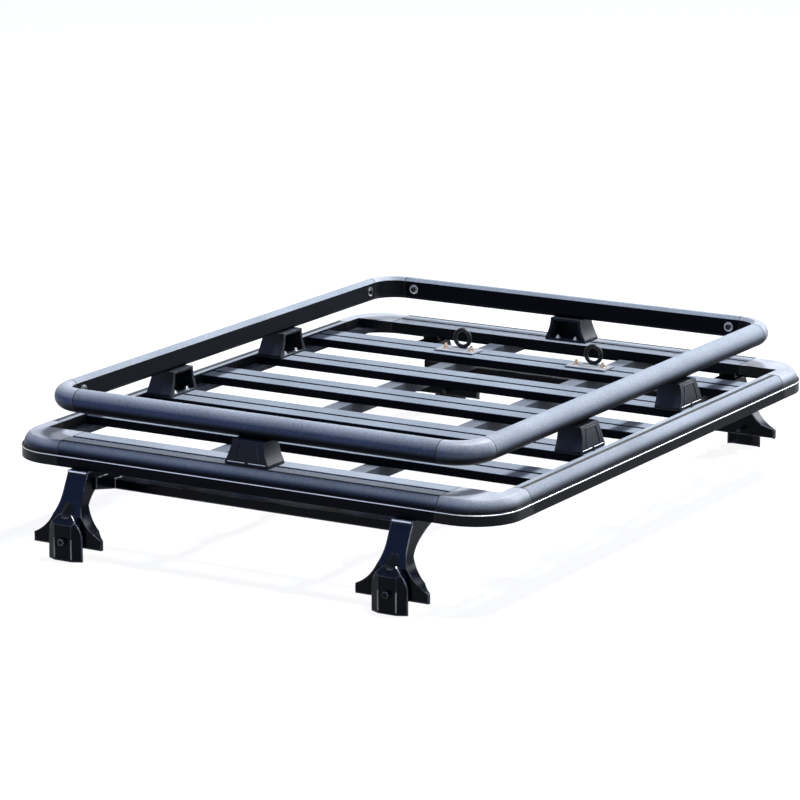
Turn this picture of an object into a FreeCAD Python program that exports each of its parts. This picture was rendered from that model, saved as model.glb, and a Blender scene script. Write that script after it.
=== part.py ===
import FreeCAD, Part
import os
import Sketcher

# A vehicle roof basket: a slatted deck in a rounded frame, a raised rail on six pedestals, four gutter feet.
# Millimetres. X runs along the deck slats, Y across them, Z up. The basket stands on its four claws' toes.

DRIVING_SIZES = {
    # deck frame, over its outer ledge
    "frame_length": 1140,
    "frame_width": 1424,
    "deck_height": 221,
    "frame_height": 49,
    "ledge_drop": 25,
    "ledge_step": 4,
    "nose_reach": 14,
    "skirt_wall": 6,
    "side_rail_width": 44,
    "end_rail_width": 100,
    "frame_corner_radius": 100,
    "end_leg": 132,
    "side_leg": 150,
    "corner_band": 30,
    # undercut slot that runs along the end rails and the slats
    "slot_inset": 57,
    "slot_mouth": 10,
    "slot_lip": 3,
    "slot_depth": 10,
    "slot_room": 18,
    # deck slats and the bars below them
    "slat_width": 88,
    "slat_height": 18,
    "slat_drop": 3,
    "slat_edge_gap": 132,
    "slat_end_gap": 3,
    "bar_width": 36,
    "bar_height": 28,
    "bar_inner_offset": 163,
    "bar_end_gap": 1,
    "outer_bar_width": 18,
    "outer_bar_height": 14,
    "outer_bar_gap": 3,
    "outer_bar_reach": 40,
    # raised rail
    "top_rail_lift": 51,
    "top_rail_height": 48,
    "top_rail_depth": 36,
    "top_rail_bulge": 22,
    "top_rail_bevel": 7,
    "top_inset_end": 35,
    "top_inset_side": 65,
    "top_corner_radius": 85,
    # pedestals
    "pedestal_base_length": 100,
    "pedestal_top_length": 74,
    "pedestal_base_depth": 60,
    "pedestal_top_depth": 42,
    "pedestal_foot": 7,
    "pedestal_wall": 5,
    "pedestal_flare_radius": 90,
    # bars under the frame
    "stub_clearance": 0.3,
    "stub_block": 24,
    "sill_width": 30,
    "sill_height": 20,
    "sill_inset": 72,
    "sill_drop": 31,
    "sill_plate": 6,
    "sill_plate_reach": 65,
    "sill_plate_rise": 12,
    # feet
    "foot_inset": 195,
    "foot_top_width": 48,
    "foot_base_width": 162,
    "foot_base_edge": 20,
    "foot_base_height": 27,
    "foot_wall": 4,
    "foot_stand_out": 16,
    "foot_lean": 38,
    "foot_lean_start": 90,
    "foot_lean_end": 166,
    "foot_waist_drop": 40,
    "foot_arm": 86,
    "foot_arm_edge": 14,
    "foot_throat": 36,
    "foot_throat_drop": 66,
    "foot_flange": 26,
    "foot_flange_height": 60,
    "foot_flange_base": 7,
    # gutter claws and their bolts
    "claw_width": 80,
    "claw_panel": 40,
    "claw_height": 94,
    "claw_shoulder": 48,
    "claw_crown": 24,
    "claw_crown_depth": 5,
    "claw_crown_radius": 60,
    "claw_wall": 3,
    "claw_reach": 18,
    "claw_edge": 8,
    "claw_toe": 8,
    "claw_bend": 20,
    "claw_bolt_height": 40,
    "claw_bolt_radius": 4,
    "claw_bolt_length": 42,
    "claw_bolt_head": 8,
    "claw_bolt_head_radius": 7.5,
    "bolt_clearance": 0.4,
    # tie-down eyes
    "eye_plate_length": 96,
    "eye_plate_width": 48,
    "eye_plate_thickness": 4,
    "eye_ring_radius": 18.5,
    "eye_bar_radius": 4.5,
    "eye_ring_sink": 1,
    "eye_ring_setback": 18,
    "eye_bolt_spacing": 64,
    "eye_hole_radius": 3.3,
}
SLAT_COUNT = 5
HEX_SIDES = 6
QUARTER_TURN = 90
BOW_EASE = 1.25

doc = FreeCAD.newDocument("roof_basket")
sheet = doc.addObject("Spreadsheet::Sheet", "sizes")


class Size:
    """A length that carries its value and the sheet expression it comes from."""

    def __init__(self, value, text):
        self.value = value
        self.text = text

    def join(self, other, sign, value):
        """Return a new size from this one and another, joined by an arithmetic sign."""
        other_text = other.text if isinstance(other, Size) else repr(other)
        return Size(value, f"({self.text} {sign} {other_text})")

    def __add__(self, other):
        return self.join(other, "+", self.value + number(other))

    def __sub__(self, other):
        return self.join(other, "-", self.value - number(other))

    def __mul__(self, other):
        return self.join(other, "*", self.value * number(other))

    def __truediv__(self, other):
        return self.join(other, "/", self.value / number(other))

    def __neg__(self):
        return self * -1


def number(size):
    """Give the plain value of a size or a number."""
    return size.value if isinstance(size, Size) else size


def fill_sheet():
    """Write every driving size to the sheet and return the sizes by name."""
    sizes = {}
    for row, (alias, value) in enumerate(DRIVING_SIZES.items(), start=1):
        sheet.set(f"A{row}", alias.replace("_", " "))
        sheet.set(f"B{row}", str(value))
        sheet.setAlias(f"B{row}", alias)
        sizes[alias] = Size(value, f"sizes.{alias}")
    doc.recompute()
    return sizes


S = fill_sheet()
ZERO = S["frame_length"] * 0
sub_parts = []


def bind(item, prop, size):
    """Tie one property of a document object to a size."""
    item.setExpression(prop, size.text if isinstance(size, Size) else repr(size))


def place(item, x, y, z, turn=0, tilt_axis=FreeCAD.Vector(0, 0, 1)):
    """Turn an object about an axis in degrees and tie its place to sizes."""
    item.Placement = FreeCAD.Placement(FreeCAD.Vector(), FreeCAD.Rotation(tilt_axis, turn))
    for axis, size in zip("xyz", (x, y, z)):
        bind(item, f"Placement.Base.{axis}", size)


def keep(item, label):
    """Name a finished sub-part and remember it for export."""
    item.Label = label
    sub_parts.append(item)
    return item


def arc_radius(reach, rise):
    """Give the radius of an arc that leaves its chord's first axis squarely and covers reach by rise."""
    return (reach * reach + rise * rise) / (reach * 2)


def draw_outline(sketch, corners, arcs):
    """Draw a closed outline in a sketch, with each corner tied to its sizes.

    arcs gives, by the index of the corner where a round stretch starts, its radius and a point inside it.
    """
    count = len(corners)
    ends = []
    for index in range(count):
        start = FreeCAD.Vector(number(corners[index][0]), number(corners[index][1]), 0)
        stop_corner = corners[(index + 1) % count]
        stop = FreeCAD.Vector(number(stop_corner[0]), number(stop_corner[1]), 0)
        if index not in arcs:
            sketch.addGeometry(Part.LineSegment(start, stop))
            ends.append((1, 2))
            continue
        radius, towards = arcs[index]
        middle = (start + stop) / 2
        inward = FreeCAD.Vector(number(towards[0]), number(towards[1]), 0) - middle
        chord = stop - start
        square = FreeCAD.Vector(-chord.y, chord.x, 0).normalize()
        if square.dot(inward) < 0:
            square = -square
        half = chord.Length / 2
        depth = number(radius) - (number(radius) ** 2 - half ** 2) ** 0.5
        top = middle - square * depth
        runs_left = chord.cross(top - start).z < 0
        sketch.addGeometry(Part.Arc(start, top, stop) if runs_left else Part.Arc(stop, top, start))
        ends.append((1, 2) if runs_left else (2, 1))
    for index in range(count):
        following = (index + 1) % count
        meeting = (index, ends[index][1], following, ends[following][0])
        sketch.addConstraint(Sketcher.Constraint("Coincident", *meeting))
    for index, (across, up) in enumerate(corners):
        for kind, size in (("DistanceX", across), ("DistanceY", up)):
            rule = Sketcher.Constraint(kind, -1, 1, index, ends[index][0], number(size))
            place_in_list = sketch.addConstraint(rule)
            bind(sketch, f"Constraints[{place_in_list}]", size)
    for index, (radius, _towards) in arcs.items():
        place_in_list = sketch.addConstraint(Sketcher.Constraint("Radius", index, number(radius)))
        bind(sketch, f"Constraints[{place_in_list}]", radius)


def body_sketch(body, name, role, corners, arcs=None, offset=None):
    """Add a closed sketch on one of a body's own origin planes, moved along its normal by offset."""
    sketch = body.newObject("Sketcher::SketchObject", name)
    plane = [feature for feature in body.Origin.OriginFeatures if feature.Role == role][0]
    sketch.AttachmentSupport = [(plane, "")]
    sketch.MapMode = "FlatFace"
    if offset is not None:
        bind(sketch, "AttachmentOffset.Base.z", offset)
    draw_outline(sketch, corners, arcs or {})
    return sketch


def pad(body, name, sketch, length, side="Symmetric"):
    """Pad a sketch of a body by a size."""
    feature = body.newObject("PartDesign::Pad", name)
    feature.Profile = sketch
    feature.SideType = side
    bind(feature, "Length", length)
    return feature


def pocket_through(body, name, sketch, side="One side"):
    """Cut a sketch right through a body."""
    feature = body.newObject("PartDesign::Pocket", name)
    feature.Profile = sketch
    feature.SideType = side
    feature.Type = "ThroughAll"
    return feature


def quarter_turn(body, name, sketch):
    """Turn a sketch of a body a quarter turn about the body's upright axis."""
    feature = body.newObject("PartDesign::Revolution", name)
    feature.Profile = sketch
    feature.ReferenceAxis = (sketch, ["V_Axis"])
    feature.Angle = QUARTER_TURN
    return feature


PLANES = {
    "XZ": FreeCAD.Rotation(FreeCAD.Vector(1, 0, 0), 90),
    "YZ": FreeCAD.Rotation(FreeCAD.Vector(1, 1, 1), 120),
    "XY": FreeCAD.Rotation(),
}


def prism(name, plane, corners, arcs, depth):
    """Extrude a closed outline evenly to both sides of a plane."""
    sketch = doc.addObject("Sketcher::SketchObject", f"{name}_outline")
    sketch.Placement = FreeCAD.Placement(FreeCAD.Vector(), PLANES[plane])
    draw_outline(sketch, corners, arcs)
    solid = doc.addObject("Part::Extrusion", name)
    solid.Base = sketch
    solid.DirMode = "Normal"
    solid.Solid = True
    solid.Symmetric = True
    bind(solid, "LengthFwd", depth)
    return solid


def combine(kind, name, base, tool):
    """Join two solids with a boolean of the given kind."""
    result = doc.addObject(f"Part::{kind}", name)
    result.Base = base
    result.Tool = tool
    return result


def box(label, length, width, height, x, y, z):
    """Make a bar as a box centred on x and y, with its underside at z."""
    bar = doc.addObject("Part::Box", label)
    bind(bar, "Length", length)
    bind(bar, "Width", width)
    bind(bar, "Height", height)
    place(bar, x - length / 2, y - width / 2, z)
    return bar


def cylinder_along_y(name, radius, length, x, y, z):
    """Make a round bar that runs along +Y from a point."""
    bar = doc.addObject("Part::Cylinder", name)
    bind(bar, "Radius", radius)
    bind(bar, "Height", length)
    place(bar, x, y, z, -90, FreeCAD.Vector(1, 0, 0))
    return bar


# sizes worked out from the driving ones
half_length = S["frame_length"] / 2
half_width = S["frame_width"] / 2
board = S["slat_drop"] + S["slat_height"]
skirt_bottom = S["deck_height"] - S["frame_height"]
slat_top = S["deck_height"] - S["slat_drop"]
deck_seat = S["deck_height"] - board
nose_radius = arc_radius(S["nose_reach"], S["ledge_drop"])
crease = S["ledge_step"] + S["nose_reach"]
top_rail_bottom = S["deck_height"] + S["top_rail_lift"]
top_half_length = half_length - S["top_inset_side"]
top_half_width = half_width - S["top_inset_end"]
top_arc_radius = arc_radius(S["top_rail_bulge"], S["top_rail_height"] / 2)
foot_top = skirt_bottom
foot_front = half_width + S["foot_stand_out"] + S["foot_lean"]
foot_line = half_length - S["foot_inset"]
sill_line = half_width - S["sill_inset"] - S["sill_width"] / 2
stub_width = S["foot_top_width"] - (S["foot_wall"] + S["stub_clearance"]) * 2


def slot_corners(middle):
    """List the corners of the undercut slot in a top face at height zero, from one lip to the other."""
    mouth = S["slot_mouth"] / 2
    room = S["slot_room"] / 2
    return [
        (middle - mouth, ZERO), (middle - mouth, -S["slot_lip"]),
        (middle - room, -S["slot_lip"]), (middle - room, -S["slot_depth"]),
        (middle + room, -S["slot_depth"]), (middle + room, -S["slot_lip"]),
        (middle + mouth, -S["slot_lip"]), (middle + mouth, ZERO),
    ]


def frame_section(width, slotted):
    """Give the deck frame's section, from its outer skirt inwards, and its rounded nose."""
    corners = [
        (ZERO, -S["frame_height"]), (ZERO, -S["ledge_drop"]),
        (S["ledge_step"], -S["ledge_drop"]), (crease, ZERO),
    ]
    if slotted:
        corners += slot_corners(S["slot_inset"])
    corners += [
        (width, ZERO), (width, -board), (S["skirt_wall"], -board), (S["skirt_wall"], -S["frame_height"]),
    ]
    nose = {2: (nose_radius, (crease, -S["ledge_drop"]))}
    return corners, nose


def top_section():
    """Give the raised rail's section, from its bulging outer face inwards."""
    inner = S["top_rail_depth"]
    bevel = S["top_rail_bevel"]
    height = S["top_rail_height"]
    corners = [
        (S["top_rail_bulge"], ZERO), (S["top_rail_bulge"], height), (inner - bevel, height),
        (inner, height - bevel), (inner, bevel), (inner - bevel, ZERO),
    ]
    bulge = {0: (top_arc_radius, (inner, height / 2))}
    return corners, bulge


def swung(section, radius):
    """Set a section out from a corner's upright axis, with its outer face at the given radius."""
    corners, arcs = section
    turned = [(radius - across, up) for across, up in corners]
    turned_arcs = {}
    for index, (bend, towards) in arcs.items():
        turned_arcs[index] = (bend, (radius - towards[0], towards[1]))
    return turned, turned_arcs


def straight_rail(label, section, length, x, y, z, turn):
    """Make one straight rail whose section is drawn from its outer side inwards."""
    body = doc.addObject("PartDesign::Body", label)
    corners, arcs = section
    pad(body, f"{label}_pad", body_sketch(body, f"{label}_section", "YZ_Plane", corners, arcs), length)
    place(body, x, y, z, turn)
    return keep(body, label)


def ring_of_rails(prefix, end_section, side_section, end_length, side_length, reach_x, reach_y, z):
    """Make the four straight rails of a rounded ring, front, back, left and right."""
    straight_rail(f"{prefix}_front", end_section, end_length, ZERO, -reach_y, z, 0)
    straight_rail(f"{prefix}_back", end_section, end_length, ZERO, reach_y, z, 180)
    straight_rail(f"{prefix}_left", side_section, side_length, -reach_x, ZERO, z, -90)
    straight_rail(f"{prefix}_right", side_section, side_length, reach_x, ZERO, z, 90)


CORNERS = (
    ("back_right", 1, 1, 0),
    ("back_left", -1, 1, 90),
    ("front_left", -1, -1, 180),
    ("front_right", 1, -1, 270),
)


def frame_corner(label, side_x, side_y, turn):
    """Make one cast corner of the deck frame: the swept edge, two straight legs and the flat web in them."""
    radius = S["frame_corner_radius"]
    body = doc.addObject("PartDesign::Body", label)
    corners, arcs = swung(frame_section(S["corner_band"], False), radius)
    section = body_sketch(body, f"{label}_section", "XZ_Plane", corners, arcs)
    quarter_turn(body, f"{label}_sweep", section)
    first, second = S["side_rail_width"], S["end_rail_width"]
    first_leg, second_leg = S["side_leg"] - radius, S["end_leg"] - radius
    if side_x * side_y < 0:
        first, second = second, first
        first_leg, second_leg = second_leg, first_leg
    first_section = body_sketch(body, f"{label}_first_section", "XZ_Plane", corners, arcs)
    pad(body, f"{label}_first_leg", first_section, first_leg, "One side")
    second_section = body_sketch(body, f"{label}_second_section", "YZ_Plane", corners, arcs)
    pad(body, f"{label}_second_leg", second_section, second_leg, "One side").Reversed = True
    web_radius = radius - crease
    web = [
        (radius - first, -first_leg), (web_radius, -first_leg), (web_radius, ZERO), (ZERO, web_radius),
        (-second_leg, web_radius), (-second_leg, radius - second), (radius - first, radius - second),
    ]
    web_arc = {2: (web_radius, (ZERO, ZERO))}
    plan = body_sketch(body, f"{label}_plan", "XY_Plane", web, web_arc)
    pad(body, f"{label}_web", plan, board, "One side").Reversed = True
    centre_x, centre_y = (half_length - radius) * side_x, (half_width - radius) * side_y
    place(body, centre_x, centre_y, S["deck_height"], turn)
    keep(body, label)


def top_corner(label, side_x, side_y, turn):
    """Make one swept corner of the raised rail."""
    radius = S["top_corner_radius"]
    body = doc.addObject("PartDesign::Body", label)
    corners, arcs = swung(top_section(), radius)
    section = body_sketch(body, f"{label}_section", "XZ_Plane", corners, arcs)
    quarter_turn(body, f"{label}_sweep", section)
    centre_x, centre_y = (top_half_length - radius) * side_x, (top_half_width - radius) * side_y
    place(body, centre_x, centre_y, top_rail_bottom, turn)
    keep(body, label)


def make_deck_frame():
    """Make the deck frame's four rails and four corners."""
    end_length = S["frame_length"] - S["end_leg"] * 2
    side_length = S["frame_width"] - S["side_leg"] * 2
    end_section = frame_section(S["end_rail_width"], True)
    side_section = frame_section(S["side_rail_width"], False)
    ring_of_rails("frame_rail", end_section, side_section, end_length, side_length,
                  half_length, half_width, S["deck_height"])
    for name, side_x, side_y, turn in CORNERS:
        frame_corner(f"frame_corner_{name}", side_x, side_y, turn)


def make_top_rail():
    """Make the raised rail's four straights and four corners."""
    end_length = (top_half_length - S["top_corner_radius"]) * 2
    side_length = (top_half_width - S["top_corner_radius"]) * 2
    ring_of_rails("top_rail", top_section(), top_section(), end_length, side_length,
                  top_half_length, top_half_width, top_rail_bottom)
    for name, side_x, side_y, turn in CORNERS:
        top_corner(f"top_corner_{name}", side_x, side_y, turn)


def slat_line(index):
    """Give the place across the deck of one slat, counted from the front."""
    last_line = half_width - S["end_rail_width"] - S["slat_edge_gap"] - S["slat_width"] / 2
    return last_line * (index * 2 / (SLAT_COUNT - 1) - 1)


def make_slats():
    """Make the deck slats, each with an undercut slot along its middle."""
    half = S["slat_width"] / 2
    section = [(-half, -S["slat_height"]), (-half, ZERO)] + slot_corners(ZERO)
    section += [(half, ZERO), (half, -S["slat_height"])]
    length = S["frame_length"] - (S["side_rail_width"] + S["slat_end_gap"]) * 2
    for index in range(SLAT_COUNT):
        label = f"deck_slat_{index + 1}"
        straight_rail(label, (section, {}), length, ZERO, slat_line(index), slat_top, 0)


def make_under_bars():
    """Make the four bars that carry the slats and reach under both end rails."""
    inner_length = S["frame_width"] - (S["skirt_wall"] + S["bar_end_gap"]) * 2
    outer_length = (half_width - S["frame_corner_radius"] + S["outer_bar_reach"]) * 2
    outer_line = half_length - S["side_rail_width"] - S["outer_bar_gap"] - S["outer_bar_width"] / 2
    inner_line = S["bar_inner_offset"]
    outer_size = (S["outer_bar_width"], outer_length, S["outer_bar_height"])
    inner_size = (S["bar_width"], inner_length, S["bar_height"])
    bars = (
        (-outer_line, outer_size), (-inner_line, inner_size),
        (inner_line, inner_size), (outer_line, outer_size),
    )
    for index, (offset, (width, length, height)) in enumerate(bars, start=1):
        label = f"under_bar_{index}"
        keep(box(label, width, length, height, offset, ZERO, deck_seat - height), label)


def pedestal(label, x, y, base, turn):
    """Make one moulded pedestal: flared along the rail, bowed on its outer face, hollow on its inner side."""
    body = doc.addObject("PartDesign::Body", label)
    height = top_rail_bottom - base
    base_half, top_half = S["pedestal_base_length"] / 2, S["pedestal_top_length"] / 2
    foot, wall = S["pedestal_foot"], S["pedestal_wall"]
    flare = S["pedestal_flare_radius"]
    front = [
        (-base_half, ZERO), (-base_half, foot), (-top_half, height),
        (top_half, height), (base_half, foot), (base_half, ZERO),
    ]
    flares = {1: (flare, (-base_half, height)), 3: (flare, (base_half, height))}
    front_sketch = body_sketch(body, f"{label}_front", "XZ_Plane", front, flares)
    pad(body, f"{label}_pad", front_sketch, S["pedestal_base_depth"])
    outer = -S["pedestal_base_depth"] / 2
    lip = outer + (S["pedestal_base_depth"] - S["pedestal_top_depth"]) / 2
    bow = [(outer, foot), (lip, height), (outer, height)]
    bow_arc = {0: (arc_radius(lip - outer, height - foot) * BOW_EASE, (ZERO, foot))}
    bow_sketch = body_sketch(body, f"{label}_side", "YZ_Plane", bow, bow_arc)
    pocket_through(body, f"{label}_bow", bow_sketch, "Symmetric")
    inner_base, inner_top = base_half - wall * 2, top_half - wall
    hollow = [
        (-inner_base, wall), (-inner_base, foot + wall), (-inner_top, height - wall),
        (inner_top, height - wall), (inner_base, foot + wall), (inner_base, wall),
    ]
    inner_flares = {1: (flare, (-base_half, height)), 3: (flare, (base_half, height))}
    floor = -lip - wall
    hollow_sketch = body_sketch(body, f"{label}_hollow", "XZ_Plane", hollow, inner_flares, floor)
    body.Tip = pocket_through(body, f"{label}_recess", hollow_sketch)
    place(body, x, y, base, turn)
    keep(body, label)


def make_pedestals():
    """Stand six pedestals under the raised rail, on the end rails and on the second and fourth slats."""
    end_line = top_half_width - S["top_rail_depth"] / 2
    side_line = top_half_length - S["top_rail_depth"] / 2
    pedestal("pedestal_front", ZERO, -end_line, S["deck_height"], 0)
    pedestal("pedestal_back", ZERO, end_line, S["deck_height"], 180)
    for name, index in (("front", 1), ("back", SLAT_COUNT - 2)):
        pedestal(f"pedestal_left_{name}", -side_line, slat_line(index), slat_top, -90)
        pedestal(f"pedestal_right_{name}", side_line, slat_line(index), slat_top, 90)


def leg_stub(label, x, side_y):
    """Make one stub inside a foot's arm, with a block that fills up to the end rail behind the skirt."""
    outer = foot_front - S["foot_lean"] - S["foot_wall"]
    inner = foot_front - S["foot_lean"] - S["foot_arm"]
    bar = box(f"{label}_bar", stub_width, outer - inner, S["foot_arm_edge"],
              x, (outer + inner) / 2 * side_y, skirt_bottom - S["foot_arm_edge"])
    block_line = half_width - S["skirt_wall"] - S["bar_end_gap"] - S["stub_block"] / 2
    block = box(f"{label}_block", stub_width, S["stub_block"], deck_seat - skirt_bottom,
                x, block_line * side_y, skirt_bottom)
    keep(combine("Fuse", label, bar, block), label)


def sill_bar(label, side):
    """Make one sill bar between two feet, ended by plates that lie on the feet's inner sides."""
    length = foot_line * 2 - S["foot_top_width"]
    top = skirt_bottom - S["sill_drop"]
    bottom = top - S["sill_height"]
    inner, outer = sill_line - S["sill_width"] / 2, sill_line + S["sill_width"] / 2
    tip = outer + S["sill_plate_reach"]
    plate_top = skirt_bottom - S["foot_arm_edge"]
    corners = [
        (inner * side, bottom), (outer * side, bottom), (tip * side, bottom + S["sill_plate_rise"]),
        (tip * side, plate_top), (outer * side, plate_top), (inner * side, top),
    ]
    across = prism(f"{label}_ends", "YZ", corners, {}, length)
    between = box(f"{label}_between", length - S["sill_plate"] * 2, half_width, skirt_bottom,
                  ZERO, half_width * side - S["sill_inset"] * side, ZERO)
    plates = combine("Cut", f"{label}_plates", across, between)
    bar = box(f"{label}_bar", length, S["sill_width"], S["sill_height"], ZERO, sill_line * side, bottom)
    keep(combine("Fuse", label, bar, plates), label)


def make_lower_bars():
    """Make the four stubs in the feet's arms and the two sill bars between the feet."""
    for name, side_x, side_y, _turn in CORNERS:
        leg_stub(f"leg_stub_{name}", foot_line * side_x, side_y)
    for name, side in (("front", -1), ("back", 1)):
        sill_bar(f"sill_bar_{name}", side)


def flared_outline(base_half, top_half, bottom, shoulder, waist, top):
    """Give a foot's front outline: upright base edges, sides that sweep to a waist, then a narrow neck."""
    corners = [
        (-base_half, bottom), (-base_half, shoulder), (-top_half, waist), (-top_half, top),
        (top_half, top), (top_half, waist), (base_half, shoulder), (base_half, bottom),
    ]
    sweep = arc_radius(base_half - top_half, waist - shoulder)
    return corners, {1: (sweep, (-base_half, top)), 5: (sweep, (base_half, top))}


def foot(label, x, y, turn):
    """Make one pressed foot: a flared front plate with deep side flanges, open behind and below."""
    wall, bottom, lean = S["foot_wall"], S["foot_base_height"], S["foot_lean"]
    shoulder = bottom + S["foot_base_edge"]
    base_half, top_half = S["foot_base_width"] / 2, S["foot_top_width"] / 2
    waist = foot_top - S["foot_waist_drop"]
    outline = flared_outline(base_half, top_half, bottom, shoulder, waist, foot_top)
    outer_front = prism(f"{label}_front", "XZ", *outline, S["foot_arm"] * 4)
    arm_end = lean + S["foot_arm"]
    arm_under = foot_top - S["foot_arm_edge"]
    side = [
        (ZERO, bottom), (ZERO, S["foot_lean_start"]), (lean, S["foot_lean_end"]), (lean, foot_top),
        (arm_end, foot_top), (arm_end, arm_under), (S["foot_throat"], foot_top - S["foot_throat_drop"]),
        (S["foot_flange"], S["foot_flange_height"]),
        (S["foot_flange_base"], shoulder), (S["foot_flange_base"], bottom),
    ]
    gusset_radius = S["foot_arm"] * 2
    gusset = {5: (gusset_radius, (arm_end, bottom))}
    outer_side = prism(f"{label}_side", "YZ", side, gusset, S["foot_base_width"] * 2)
    shell = combine("Common", f"{label}_shell", outer_front, outer_side)
    inner_base, inner_top = base_half - wall, top_half - wall
    inner_outline = flared_outline(inner_base, inner_top, bottom - wall, shoulder, waist, foot_top + wall)
    inner_front = prism(f"{label}_room_front", "XZ", *inner_outline, S["foot_arm"] * 4)
    room = [
        (wall, bottom - wall), (wall, S["foot_lean_start"]), (lean + wall, S["foot_lean_end"]),
        (lean + wall, foot_top + wall), (arm_end + wall, foot_top + wall), (arm_end + wall, bottom - wall),
    ]
    inner_side = prism(f"{label}_room_side", "YZ", room, {}, S["foot_base_width"] * 2)
    void = combine("Common", f"{label}_room", inner_front, inner_side)
    pressed = combine("Cut", f"{label}_pressed", shell, void)
    hole = cylinder_along_y(f"{label}_hole", S["claw_bolt_radius"] + S["bolt_clearance"], wall * 3,
                            ZERO, -wall, S["claw_bolt_height"])
    drilled = combine("Cut", label, pressed, hole)
    place(drilled, x, y, ZERO, turn)
    keep(drilled, label)


def gutter_claw(label, x, y, turn):
    """Make one gutter claw: a crowned pressing with swept-back sides and its toe turned in below."""
    half, crown, panel = S["claw_width"] / 2, S["claw_crown"] / 2, S["claw_panel"] / 2
    wall, reach, edge, height = S["claw_wall"], S["claw_reach"], S["claw_edge"], S["claw_height"]
    bend, toe = height - S["claw_bend"], S["claw_toe"] - reach
    front = [
        (-half, ZERO), (-half, S["claw_shoulder"]), (-crown, height),
        (crown, height), (half, S["claw_shoulder"]), (half, ZERO),
    ]
    crown_arcs = {
        1: (S["claw_crown_radius"], (ZERO, ZERO)),
        3: (S["claw_crown_radius"], (ZERO, ZERO)),
    }
    face = prism(f"{label}_face", "XZ", front, crown_arcs, reach * 4)
    side = [(ZERO, height), (-S["claw_crown_depth"], height), (-reach, bend), (-reach, ZERO), (ZERO, ZERO)]
    bent = prism(f"{label}_side", "YZ", side, {}, S["claw_width"] * 2)
    plan = [(-half, ZERO), (-half, -edge), (-panel, -reach), (panel, -reach), (half, -edge), (half, ZERO)]
    swept = prism(f"{label}_plan", "XY", plan, {}, height * 4)
    block = combine("Common", f"{label}_block", combine("Common", f"{label}_crowned", face, bent), swept)
    room_side = [
        (wall, -wall), (toe, -wall), (toe, wall), (-reach, wall), (-reach, bend - wall * 2), (wall, bend),
    ]
    room_bent = prism(f"{label}_room_side", "YZ", room_side, {}, S["claw_width"] * 2)
    past = half + wall
    past_edge = edge - wall - (reach - edge) / (half - panel) * wall
    room_plan = [
        (-past, wall), (-past, -past_edge), (-panel, wall - reach),
        (panel, wall - reach), (past, -past_edge), (past, wall),
    ]
    room_swept = prism(f"{label}_room_plan", "XY", room_plan, {}, height * 4)
    room = combine("Common", f"{label}_room", room_bent, room_swept)
    plate = combine("Cut", f"{label}_plate", block, room)
    hole = cylinder_along_y(f"{label}_hole", S["claw_bolt_radius"] + S["bolt_clearance"], wall * 3,
                            ZERO, -reach - wall, S["claw_bolt_height"])
    drilled = combine("Cut", label, plate, hole)
    place(drilled, x, y, ZERO, turn)
    keep(drilled, label)


def claw_bolt(name, x, y, turn):
    """Make one hexagon bolt that runs in through a claw and a foot."""
    start = -S["claw_reach"]
    shank = cylinder_along_y(f"{name}_shank", S["claw_bolt_radius"], S["claw_bolt_length"],
                             ZERO, start, S["claw_bolt_height"])
    head = doc.addObject("Part::Prism", f"{name}_head")
    head.Polygon = HEX_SIDES
    bind(head, "Circumradius", S["claw_bolt_head_radius"])
    bind(head, "Height", S["claw_bolt_head"])
    place(head, ZERO, start - S["claw_bolt_head"], S["claw_bolt_height"], -90, FreeCAD.Vector(1, 0, 0))
    bolt = combine("Fuse", name, shank, head)
    place(bolt, x, y, ZERO, turn)
    return bolt


def make_feet():
    """Set the four feet with their claws and bolts, two to each end of the cross bars."""
    bolts = []
    stations = (
        ("front_left", -1, -1, 0), ("front_right", 1, -1, 0),
        ("back_left", -1, 1, 180), ("back_right", 1, 1, 180),
    )
    for name, side_x, side_y, turn in stations:
        x, y = foot_line * side_x, foot_front * side_y
        foot(f"foot_{name}", x, y, turn)
        gutter_claw(f"gutter_claw_{name}", x, y, turn)
        bolts.append(claw_bolt(f"claw_bolt_{name}", x, y, turn))
    group = doc.addObject("Part::Compound", "claw_bolts")
    group.Links = bolts
    keep(group, "claw_bolts")


def eye_plate(label, x, y):
    """Make one tie-down eye: a flat plate with two bolt holes and an upright ring."""
    thickness = S["eye_plate_thickness"]
    plate = box(f"{label}_plate", S["eye_plate_length"], S["eye_plate_width"], thickness, ZERO, ZERO, ZERO)
    ring = doc.addObject("Part::Torus", f"{label}_ring")
    bind(ring, "Radius1", S["eye_ring_radius"])
    bind(ring, "Radius2", S["eye_bar_radius"])
    ring_height = thickness + S["eye_ring_radius"] + S["eye_bar_radius"] - S["eye_ring_sink"]
    place(ring, ZERO, S["eye_ring_setback"], ring_height, 90, FreeCAD.Vector(1, 0, 0))
    solid = combine("Fuse", f"{label}_joined", plate, ring)
    for index, side in enumerate((-1, 1)):
        hole = doc.addObject("Part::Cylinder", f"{label}_hole_{index}")
        bind(hole, "Radius", S["eye_hole_radius"])
        bind(hole, "Height", thickness * 3)
        place(hole, S["eye_bolt_spacing"] / 2 * side, ZERO, -thickness)
        solid = combine("Cut", f"{label}_drilled_{index}", solid, hole)
    place(solid, x, y, slat_top)
    keep(solid, label)


def make_eyes():
    """Bolt two tie-down eyes to the last slat, over the inner bars."""
    for name, side in (("left", -1), ("right", 1)):
        eye_plate(f"eye_plate_{name}", S["bar_inner_offset"] * side, slat_line(SLAT_COUNT - 1))


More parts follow.
